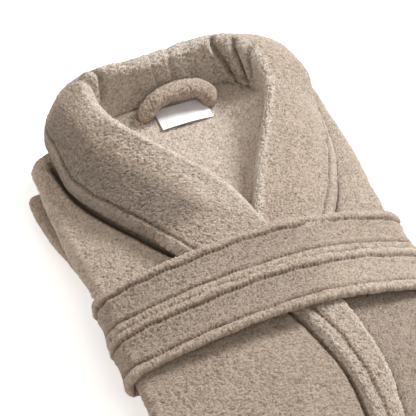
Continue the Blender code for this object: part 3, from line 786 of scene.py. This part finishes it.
def body_loop(y, side, inner, top):
    """One closed section of a front at y: over the top, round the side, and back underneath."""
    edge = half_width(y) - SIDE_ROUND
    droop = SIDE_DROOP * float(smooth((y - 0.070) / 0.050))
    us = np.linspace(inner, edge, OVER)[:-1]
    over = (us, top(side * us, y))
    high, low = float(top(side * edge, y)), BODY_BOTTOM - droop
    a = np.linspace(math.pi / 2, -math.pi / 2, ROUND)
    round_side = (edge + SIDE_ROUND * np.cos(a), (high + low) / 2 + (high - low) / 2 * np.sin(a))
    us = np.linspace(edge, TURNED_IN, BELOW)[1:]
    below = (us, BODY_BOTTOM - droop * smooth((us - 0.125) / 0.035))
    us = TURNED_IN + (inner - TURNED_IN) * np.linspace(0.0, 1.0, INSIDE + 2)[1:-1]
    inside = (us, np.full_like(us, INSIDE_Z))
    u, z = np.concatenate([over, round_side, below, inside], axis=1)
    return np.stack([side * u, np.full_like(u, y), z], axis=1)


def end_taper(y, start, end, radius):
    """0 to 1: how much of the thickness is left near the rounded ends."""
    from_start = np.clip((y - start) / radius, 0, 1)
    from_end = np.clip((end - y) / radius, 0, 1)
    return np.sqrt(1 - (1 - from_start) ** 2) * np.sqrt(1 - (1 - from_end) ** 2)


def front_grid(side, roll, outer, roll_z, ys, end):
    """Points of a front: flat below the belt, and rising to the lapel's crest above it."""

    def top(x, y):
        base = crown(x, y)
        if y < 0.045:
            return base
        x_roll, x_outer = line_through(roll, y), line_through(outer, y)
        t = np.clip((x - x_roll) / (x_outer - x_roll), 0, 1)
        rise = line_through(roll_z, y) - COLLAR_THICK - 0.003 - crown(x_roll, y)
        rise = max(float(rise * smooth((y - 0.045) / 0.03)), 0.0)
        return base + rise * (1 - t) ** 1.2 * smooth((end - y) / 0.03)

    rows = []
    middle = (BODY_BOTTOM + EDGE_TOP) / 2 + 0.002
    for y in ys:
        left_roll = float(line_through(LEFT_ROLL, y))
        if side < 0:
            inner = -left_roll + 0.004
        elif y < 0.02:
            inner = left_roll - 0.030
        else:
            inner = max(float(line_through(roll, y)) + 0.004, left_roll - 0.030 + (y - 0.02) * 1.2)
        loop = body_loop(y, side, inner, top)
        loop[:, 2] = middle + (loop[:, 2] - middle) * end_taper(y, FOLD_Y - 0.004, end, 0.008)
        slope = SHOULDER_RISE * np.clip(HALF_WIDTH - np.abs(loop[:, 0]), 0, 0.040)
        loop[:, 1] += slope * smooth((y - 0.190) / 0.060)
        rows.append(loop)
    return np.array(rows)


def front(name, side, roll, outer, roll_z, skirt_painted_shade, seed):
    start, end = FOLD_Y - 0.004, SHOULDER_END_Y + 0.003
    ys = np.linspace(start + 0.0002, end - 0.0002, int((end - start) / STEP))
    grid = front_grid(side, roll, outer, roll_z, ys, end)
    if side > 0:
        grid[..., 2] -= 0.0015 * smooth((0.03 - grid[..., 1]) / 0.02) * (grid[..., 2] > 0.06)
    y = grid[..., 1]
    lapel = smooth((y - 0.02) / 0.04)
    past_edge = side * (grid[..., 0] - line_through(outer, y))
    under_edge = bell(past_edge, 0.0022 - 0.0017 * lapel, 0.0022 + 0.0014 * lapel)
    under_edge *= ((y > 0.040) | (side < 0)) & (grid[..., 2] > 0.055)
    under_edge *= smooth((end - 0.008 - ys) / 0.022)[:, None]
    # Painted shadow under the collar's outer edge and the band's free edge, beside the real hollow that the edge
    # presses in.
    shade = (1.2 + 0.7 * lapel) * under_edge
    if side > 0:
        # Painted shadow on the right front beside the band's fold, below the belt.
        beside_band = bell(grid[..., 0], line_through(LEFT_ROLL, y) + 0.002, 0.0045)
        shade += 0.7 * beside_band * smooth((0.02 - y) / 0.03)
    # Painted light on the chest, and painted shade on the skirt below the belt.
    nap = CHEST_PAINTED_LIGHT * smooth((y - 0.045) / 0.02) + skirt_painted_shade * smooth((0.02 - y) / 0.05)
    relief = -UNDER_EDGE_DEPTH * under_edge
    obj = cloth(name, grid, ROOT, PLUSH, seed, relief, shade, rumple=0.0013, nap=nap)
    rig.slot(obj, "plush")
    return obj


def fronts():
    left = front("front_left", -1, LEFT_ROLL, LEFT_OUTER, LEFT_ROLL_Z, LEFT_SKIRT_PAINTED_SHADE, 5)
    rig.replaces(left, "front_panel_left")
    right = front("front_right", 1, RIGHT_ROLL, RIGHT_OUTER, RIGHT_ROLL_Z, RIGHT_SKIRT_PAINTED_SHADE, 9)
    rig.replaces(right, "front_panel_right", "front_band_right")


def lining():
    """The inside of the back, from the neck seam down into the opening."""
    q = np.linspace(0, 1, int(0.24 / STEP))
    rows = []
    for y in np.linspace(0.020, 0.290, int(0.27 / STEP)):
        left, right = line_through(LEFT_ROLL, y) - 0.004, line_through(RIGHT_ROLL, y) + 0.006
        left_z, right_z = line_through(LEFT_ROLL_Z, y) - 0.018, line_through(RIGHT_ROLL_Z, y) - 0.014
        fade = smooth((0.262 - y) / 0.05)
        base = LINING_Z + 0.004 * smooth((0.12 - y) / 0.08)
        x = left + (right - left) * q
        z = base + (left_z - base) * smooth(1 - q / 0.22) * fade
        z = z + (right_z - base) * smooth((q - 0.72) / 0.28) * fade
        rows.append(np.stack([x, np.full_like(x, y), z], axis=1))
    top = np.array(rows)
    bottom = top[:, ::-1].copy()
    bottom[..., 2] = np.minimum(bottom[..., 2] - 0.006, LINING_Z - 0.006)
    grid = np.concatenate([top, bottom], axis=1)
    height = 0.75 * PILE_HEIGHT
    # The lining is brightened with painted light.
    obj = cloth("back_lining", grid, ROOT, PLUSH, 13, rumple=0.0011, pile_height=height, nap=LINING_PAINTED_LIGHT)
    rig.replaces(obj, "back_panel")
    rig.slot(obj, "plush")


# ---------------------------------------------------------------- belt

BELT_HALF = HALF_WIDTH - BELT_PINCH + 0.0015  # half width inside the belt
BELT_SHOULDER, BELT_RISE = 0.0635, 0.0395  # height of the belt at its sides, and its rise between them
BELT_WIDTH = 0.0535
BELT_THICK = 0.0058
BELT_LENGTH = 0.46  # from tuck to tuck, for the number of points


def belt_path(count):
    """Inner line of the belt from tuck to tuck, with its outward normal."""
    inset = np.array([0.0185, 0.010, 0.002, 0.0, 0.0, 0.0])
    tuck = np.stack([inset - BELT_HALF, [0.0405, 0.0405, 0.0412, 0.0440, 0.052, 0.0575]], axis=1)
    xs = np.linspace(-0.955, 0.955, 40) * BELT_HALF
    top = np.stack([xs, BELT_SHOULDER + BELT_RISE * (1 - (xs / BELT_HALF) ** 2)], axis=1)
    line = np.concatenate([tuck, top, tuck[::-1] * (-1, 1)])
    line = np.stack([line[:, 0], np.zeros(len(line)), line[:, 1]], axis=1)
    line = even(through(line, np.arange(len(line)), np.linspace(0, len(line) - 1, 900)), count)
    tangent = np.gradient(line, axis=0)
    tangent /= np.linalg.norm(tangent, axis=1, keepdims=True)
    normal = np.stack([-tangent[:, 2], np.zeros(count), tangent[:, 0]], axis=1)
    return line, normal


def belt_run(name, low, high, lift, seed, sway, phase, right_end_painted_light):
    """One of the belt's two runs, between low and high across the belt, lifted off the cloth."""
    width = high - low
    line, normal = belt_path(int(BELT_LENGTH / STEP))
    run = np.arange(len(line))[:, None] * STEP
    face = int(width / STEP) + 8
    v = np.linspace(0, 1, face)
    edge = np.clip(np.minimum(v, 1 - v) * width / 0.0028, 0, 1)
    half = 0.5 * np.sqrt(1 - (1 - edge) ** 2)
    upper = np.stack([v * width + low, BELT_THICK * (0.5 + half)], axis=1)
    lower = np.stack([(1 - v) * width + low, BELT_THICK * (0.5 - half)], axis=1)
    across, height = np.concatenate([upper, lower[1:-1]]).T
    grid = line[:, None, :] + normal[:, None, :] * (height[None, :, None] + lift)
    slant = -0.006 * line[:, 0] / BELT_HALF
    grid[..., 1] = BELT_Y + across + (slant + sway * np.sin(line[:, 0] / 0.035 + phase))[:, None]
    distance = np.minimum(across - low, high - across)
    on_face = np.arange(len(across)) < face
    relief, shade = stitched_edge(distance, run, ridge=0.0030)
    # Painted shade over the belt's face, painted light towards its right end, and painted highlight along its ridged
    # edges.
    nap = BELT_PAINTED_SHADE + right_end_painted_light * smooth((grid[..., 0] - 0.03) / 0.05)
    nap = nap + BELT_EDGE_PAINTED_LIGHT * bell(distance, 0.004, 0.004)
    obj = cloth(name, grid, "belt_body", TRIM, seed, on_face * relief, on_face * shade, 0.0011, nap=nap)
    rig.slot(obj, "plush_trim")
    return obj


def belt():
    upper = belt_run("belt_upper_run", 0.0002, BELT_WIDTH, 0.0004, 51, 0.0012, 0.0, UPPER_RUN_PAINTED_LIGHT)
    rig.replaces(upper, "belt")
    belt_run("belt_lower_run", -BELT_WIDTH, 0.0, 0.0, 57, 0.0010, 0.3, LOWER_RUN_PAINTED_LIGHT)


# ---------------------------------------------------------------- folded-under cloth

PAD_STEP = STEP * 1.25


def padded(name, low, high, body, material, corner, round_end, seed, rumple=0.0012, drawn_in=None):
    """A folded length of cloth as a closed pad with rounded edges. drawn_in moves points along X."""
    ys = np.linspace(low[1], high[1], int((high[1] - low[1]) / PAD_STEP))
    ys = np.concatenate([[low[1] + 0.0001], ys[1:-1], [high[1] - 0.0001]])
    centre_x, half_x = (low[0] + high[0]) / 2, (high[0] - low[0]) / 2
    middle, half_z = (low[2] + high[2]) / 2, (high[2] - low[2]) / 2
    us = np.linspace(-1, 1, int(half_x * 2 / PAD_STEP))
    rows = []
    for y in ys:
        near = np.clip(corner - min(y - low[1], high[1] - y), 0, corner)
        w = half_x - corner + math.sqrt(max(corner**2 - near**2, 0))
        h = half_z * max(float(end_taper(y, low[1], high[1], round_end)), 0.02)
        past_flat = np.clip((np.abs(us) * w - (w - half_z)) / half_z, 0, 1)
        profile = h * np.sqrt(1 - past_flat**2)
        top = np.stack([centre_x + us * w, np.full_like(us, y), middle + profile], axis=1)
        under = np.stack([centre_x - us * w, np.full_like(us, y), middle - profile[::-1]], axis=1)
        rows.append(np.concatenate([top, under[1:-1]]))
    grid = np.array(rows)
    if drawn_in:
        grid[..., 0] -= drawn_in(grid[..., 0], grid[..., 1])
    return cloth(name, grid, body, material, seed, rumple=rumple)


def bridge(name, bodies, axis, places, centres, radii, seed, start, end, thick=0.004):
    """A half roll of cloth that joins two layers at a fold along X (axis 0) or along Y (axis 1)."""
    angle = np.linspace(0, math.pi, 36)
    back = angle[::-1]
    rows = []
    for place, centre, (out, high) in zip(places, centres, radii):
        inner = max(abs(out) - thick, 0.001) * np.sign(out)
        across = centre[0] + np.concatenate([out * np.sin(angle), inner * np.sin(back)])
        z = centre[1] + np.concatenate([high * np.cos(angle), (high - thick) * np.cos(back)])
        along = np.full(len(across), place)
        rows.append(np.stack([along, across, z] if axis == 0 else [across, along, z], axis=1))
    obj = cloth(name, np.array(rows), None, PLUSH, seed)
    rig.blend(obj, *bodies, start, end)
    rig.slot(obj, "plush")


def skirt():
    for name, node, low, high, seed in (
        ("skirt", "skirt_panel", skirt_low, skirt_high, 61),
        ("hem", "hem_panel", hem_low, hem_high, 67),
    ):
        length = padded(name, low, high, f"{name}_body", PLUSH, 0.012, 0.007, seed)
        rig.replaces(length, node)
        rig.slot(length, "plush")
    xs = np.linspace(-0.155, 0.155, int(0.31 / STEP))
    narrow = np.sqrt(np.clip(1 - (np.clip(np.abs(xs) - 0.130, 0, None) / 0.0255) ** 2, 0.01, 1))
    over_band = smooth((xs - 0.019) / 0.006) * smooth((0.063 - xs) / 0.006) * BAND_THICK
    tops = crown(xs, FOLD_Y) + 0.0008 + over_band
    low = skirt_low.z - 0.0005
    centres = [(FOLD_Y + 0.006, (top + low) / 2) for top in tops]
    radii = [(-0.022 * n, (top - low) / 2) for n, top in zip(narrow, tops)]
    start, end = (0, FOLD_Y, 0.082), (0, FOLD_Y, skirt_low.z)
    bridge("fold_roll", (ROOT, "skirt_body"), 0, xs, centres, radii, 71, start, end)
    xs = np.linspace(hem_low.x + 0.003, hem_high.x - 0.003, int(0.3 / STEP))
    centres = [(skirt_high.y - 0.008, (skirt_high.z + hem_low.z) / 2)] * len(xs)
    radii = [(0.014, (skirt_high.z - hem_low.z) / 2)] * len(xs)
    start, end = (0, 0.03, skirt_high.z), (0, 0.03, hem_low.z)
    bridge("hem_fold", ("skirt_body", "hem_body"), 0, xs, centres, radii, 73, start, end)


def pockets():
    for name in ("pocket_left", "pocket_right"):
        low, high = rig.box(name)
        pocket = padded(name + "_cloth", low, high, "skirt_body", TRIM, 0.008, 0.0012, 79, rumple=0.0004)
        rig.replaces(pocket, name)
        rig.slot(pocket, "plush_trim")


SLEEVE_REACH = 0.1915  # half width across the upper sleeves, just outside the folded sides
SLEEVE_Z = (0.0192, 0.0305)
ARMHOLE_REACH = 0.172
SLEEVE_TAPER = 0.030  # how far the sleeve's fold runs in under the body, from shoulder to waist


def towards_waist(y):
    """0 at the shoulder end of the sleeves, 1 at their waist end."""
    return smooth((0.225 - y) / 0.160)


def taper(x, y):
    """The sleeves are folded a little askew, so that only their shoulder ends show."""
    return np.sign(x) * SLEEVE_TAPER * towards_waist(y) * np.clip(np.abs(x) / 0.181, 0, 1) ** 3


def sleeve(label, side):
    """One folded arm: upper sleeve, forearm and cuff, with the folds that join them."""
    upper_body, lower_body = f"sleeve_{label}_body", f"forearm_{label}_body"
    boxes = {kind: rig.box(f"{kind}_{label}") for kind in ("sleeve", "forearm", "cuff")}
    for _, high in boxes.values():
        high.y -= 0.005
        high.z += 0.0025
    sleeve_low, sleeve_high = boxes["sleeve"]
    sleeve_low.z, sleeve_high.z = SLEEVE_Z
    outer_corner = sleeve_low if side < 0 else sleeve_high
    outer_corner.x = side * SLEEVE_REACH
    for kind, body, material, corner, edge, slot in (
        ("sleeve", upper_body, PLUSH, 0.012, 0.0070, "plush"),
        ("forearm", lower_body, PLUSH, 0.010, 0.0065, "plush"),
        ("cuff", lower_body, TRIM, 0.010, 0.0070, "plush_trim"),
    ):
        name = f"{kind}_{label}"
        pad = padded(name + "_cloth", *boxes[kind], body, material, corner, edge, 83, drawn_in=taper)
        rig.replaces(pad, name)
        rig.slot(pad, slot)
    ys = np.linspace(sleeve_low.y + 0.014, sleeve_high.y - 0.008, int(0.17 / STEP))
    centres = [(side * (ARMHOLE_REACH - 0.013 - 0.004 * towards_waist(y)), 0.0370) for y in ys]
    radii = [(side * 0.0125, 0.0070)] * len(ys)
    start, end = (0, 0, 0.0440), (0, 0, 0.0300)
    name = f"armhole_fold_{label}"
    bridge(name, (ROOT, upper_body), 1, ys, centres, radii, 101, start, end, thick=0.003)
    forearm_z = boxes["forearm"][0].z
    centres = [(side * 0.013, (sleeve_high.z + forearm_z) / 2)] * len(ys)
    radii = [(side * -0.012, (sleeve_high.z - forearm_z) / 2 - 0.0005)] * len(ys)
    start, end = (0, 0, sleeve_high.z), (0, 0, 0.0)
    bridge(f"elbow_fold_{label}", (upper_body, lower_body), 1, ys, centres, radii, 103, start, end)


# ---------------------------------------------------------------- small sewn pieces

LOOP_HALF = 0.0375  # from the loop's middle to the middle of either end
LOOP_RADIUS = 0.0106


def tube(name, path, radius, body, material, seed):
    """A stuffed tube round a path, with rounded ends."""
    path = even(path, int(run_along(path)[-1] / STEP))
    tangent = np.gradient(path, axis=0)
    tangent /= np.linalg.norm(tangent, axis=1, keepdims=True)
    side = np.cross(tangent, (0.0, -0.5, 1.0))
    side /= np.linalg.norm(side, axis=1, keepdims=True)
    lift = np.cross(side, tangent)
    run = np.linspace(0, 1, len(path))
    near = np.clip(np.minimum(run, 1 - run) * len(path) * STEP / radius, 0, 1)
    full = radius * np.sqrt(np.clip(1 - (1 - near) ** 2, 0.004, 1))
    angle = np.linspace(0, 2 * math.pi, 40, endpoint=False)[None, :, None]
    ring = side[:, None, :] * np.cos(angle) + lift[:, None, :] * np.sin(angle)
    return cloth(name, path[:, None, :] + full[:, None, None] * ring, body, material, seed, rumple=0.0004)


def hanger_loop():
    """A fat stuffed tube whose ends are sewn down in front of the neck seam."""
    low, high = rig.box("hanger_loop")
    a = np.linspace(-0.42, math.pi + 0.42, 90)
    x = (low.x + high.x) / 2 + LOOP_HALF * (0.12 * np.sin(a) - np.cos(a))
    y = 0.2585 + 0.0006 * np.cos(a) + 0.0085 * np.sin(a)
    z = LINING_Z + 0.0078 + 0.0175 * np.sin(a)
    obj = tube("hanger_loop_cloth", np.stack([x, y, z], axis=1), LOOP_RADIUS, "loop_body", TRIM, 107)
    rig.replaces(obj, "hanger_loop")
    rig.slot(obj, "plush_trim")


def neck_label():
    """A satin strip sewn in the neck seam. The loop's ends hold it down, and its free part turns up."""
    xs = np.linspace(0, 1, 80)
    arch = 0.0012 * np.sin(math.pi * xs)
    rows = []
    for v in np.linspace(0, 1, 40):
        free = (1 - v) ** 2
        x = label_low.x + (label_high.x - label_low.x) * xs
        y = label_low.y - 0.001 + 0.034 * v + arch * free
        z = LINING_Z + 0.0018 + arch * free + 0.0014 * bell(xs, 0.0, 0.25) * free
        top = np.stack([x, y, z + 0.0006], axis=1)
        under = np.stack([x, y, z], axis=1)[::-1]
        rows.append(np.concatenate([top, under]))
    obj = cloth("neck_label_cloth", np.array(rows), None, SATIN, 109, rumple=0.0, pile_height=0.0)
    seat = label_high.y
    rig.blend(obj, ROOT, "label_body", (0, seat - 0.002, LINING_Z), (0, seat - 0.011, LINING_Z))
    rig.replaces(obj, "neck_label")
    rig.slot(obj, "label_satin")


def belt_loops():
    for name in ("belt_loop_left", "belt_loop_right"):
        low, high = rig.box(name)
        loop = padded(name + "_cloth", low, high, ROOT, TRIM, 0.002, 0.0012, 113, rumple=0.0002)
        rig.replaces(loop, name)
        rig.slot(loop, "plush_trim")


# ---------------------------------------------------------------- stage, light and camera

FLOOR_HALF = 6.0
CAMERA_TARGET = Vector((-0.0154, 0.1225, 0.066))
CAMERA_AZIMUTH, CAMERA_ELEVATION, CAMERA_DISTANCE = math.radians(-22), math.radians(50), 1.43


def stage():
    mesh = bpy.data.meshes.new("floor")
    corners = [(x * FLOOR_HALF, y * FLOOR_HALF, 0) for x, y in ((-1, -1), (1, -1), (1, 1), (-1, 1))]
    mesh.from_pydata(corners, [], [(0, 1, 2, 3)])
    floor = bpy.data.objects.new("floor", mesh)
    floor.location.z = -0.0005
    bpy.context.scene.collection.objects.link(floor)
    n = Nodes("floor")
    n.shader.inputs["Base Color"].default_value = (0.97, 0.965, 0.96, 1)
    n.shader.inputs["Roughness"].default_value = 0.9
    n.shader.inputs["Emission Color"].default_value = (0.98, 0.99, 1.0, 1)
    n.shader.inputs["Emission Strength"].default_value = 0.36
    mesh.materials.append(n.material)
    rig.stage(floor)


def area_light(name, place, target, size, power, colour):
    data = bpy.data.lights.new(name, "AREA")
    data.shape = "DISK"
    data.size = size
    data.energy = power
    data.color = colour
    light = bpy.data.objects.new(name, data)
    light.location = place
    light.rotation_euler = (Vector(target) - Vector(place)).to_track_quat("-Z", "Y").to_euler()
    bpy.context.scene.collection.objects.link(light)


def lights():
    world = bpy.data.worlds.new("studio")
    world.use_nodes = True
    background = world.node_tree.nodes["Background"]
    background.inputs["Color"].default_value = (1.0, 0.955, 0.905, 1)
    background.inputs["Strength"].default_value = 0.46
    bpy.context.scene.world = world
    bpy.context.scene.view_settings.view_transform = "Standard"
    area_light("key", (1.28, 0.60, 1.42), (0, 0.1, 0.05), 0.7, 52.0, (0.955, 1.0, 1.045))
    area_light("side", (-0.95, 0.80, 1.25), (-0.05, 0.12, 0.08), 0.5, 7.0, (1.0, 0.96, 0.92))
    area_light("front", (0.10, -0.90, 1.50), (0, 0.28, 0.11), 0.8, 6.0, (1.0, 0.95, 0.89))


def camera():
    back = Vector((
        math.sin(CAMERA_AZIMUTH) * math.cos(CAMERA_ELEVATION),
        -math.cos(CAMERA_AZIMUTH) * math.cos(CAMERA_ELEVATION),
        math.sin(CAMERA_ELEVATION),
    ))
    data = bpy.data.cameras.new("camera")
    data.sensor_width = 36.0
    data.lens = 112.5
    cam = bpy.data.objects.new("camera", data)
    cam.location = CAMERA_TARGET + back * CAMERA_DISTANCE
    cam.rotation_euler = (-back).to_track_quat("-Z", "Y").to_euler()
    bpy.context.scene.collection.objects.link(cam)
    bpy.context.scene.camera = cam


def build():
    left_collar()
    right_collar()
    fronts()
    lining()
    belt()
    skirt()
    pockets()
    sleeve("left", -1)
    sleeve("right", 1)
    hanger_loop()
    neck_label()
    belt_loops()
    stage()
    lights()
    camera()


build()
visual_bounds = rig.bounds()
with open("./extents.json", "w") as out:
    json.dump({"cad": [list(v) for v in cad_bounds], "visual": [list(v) for v in visual_bounds]}, out)
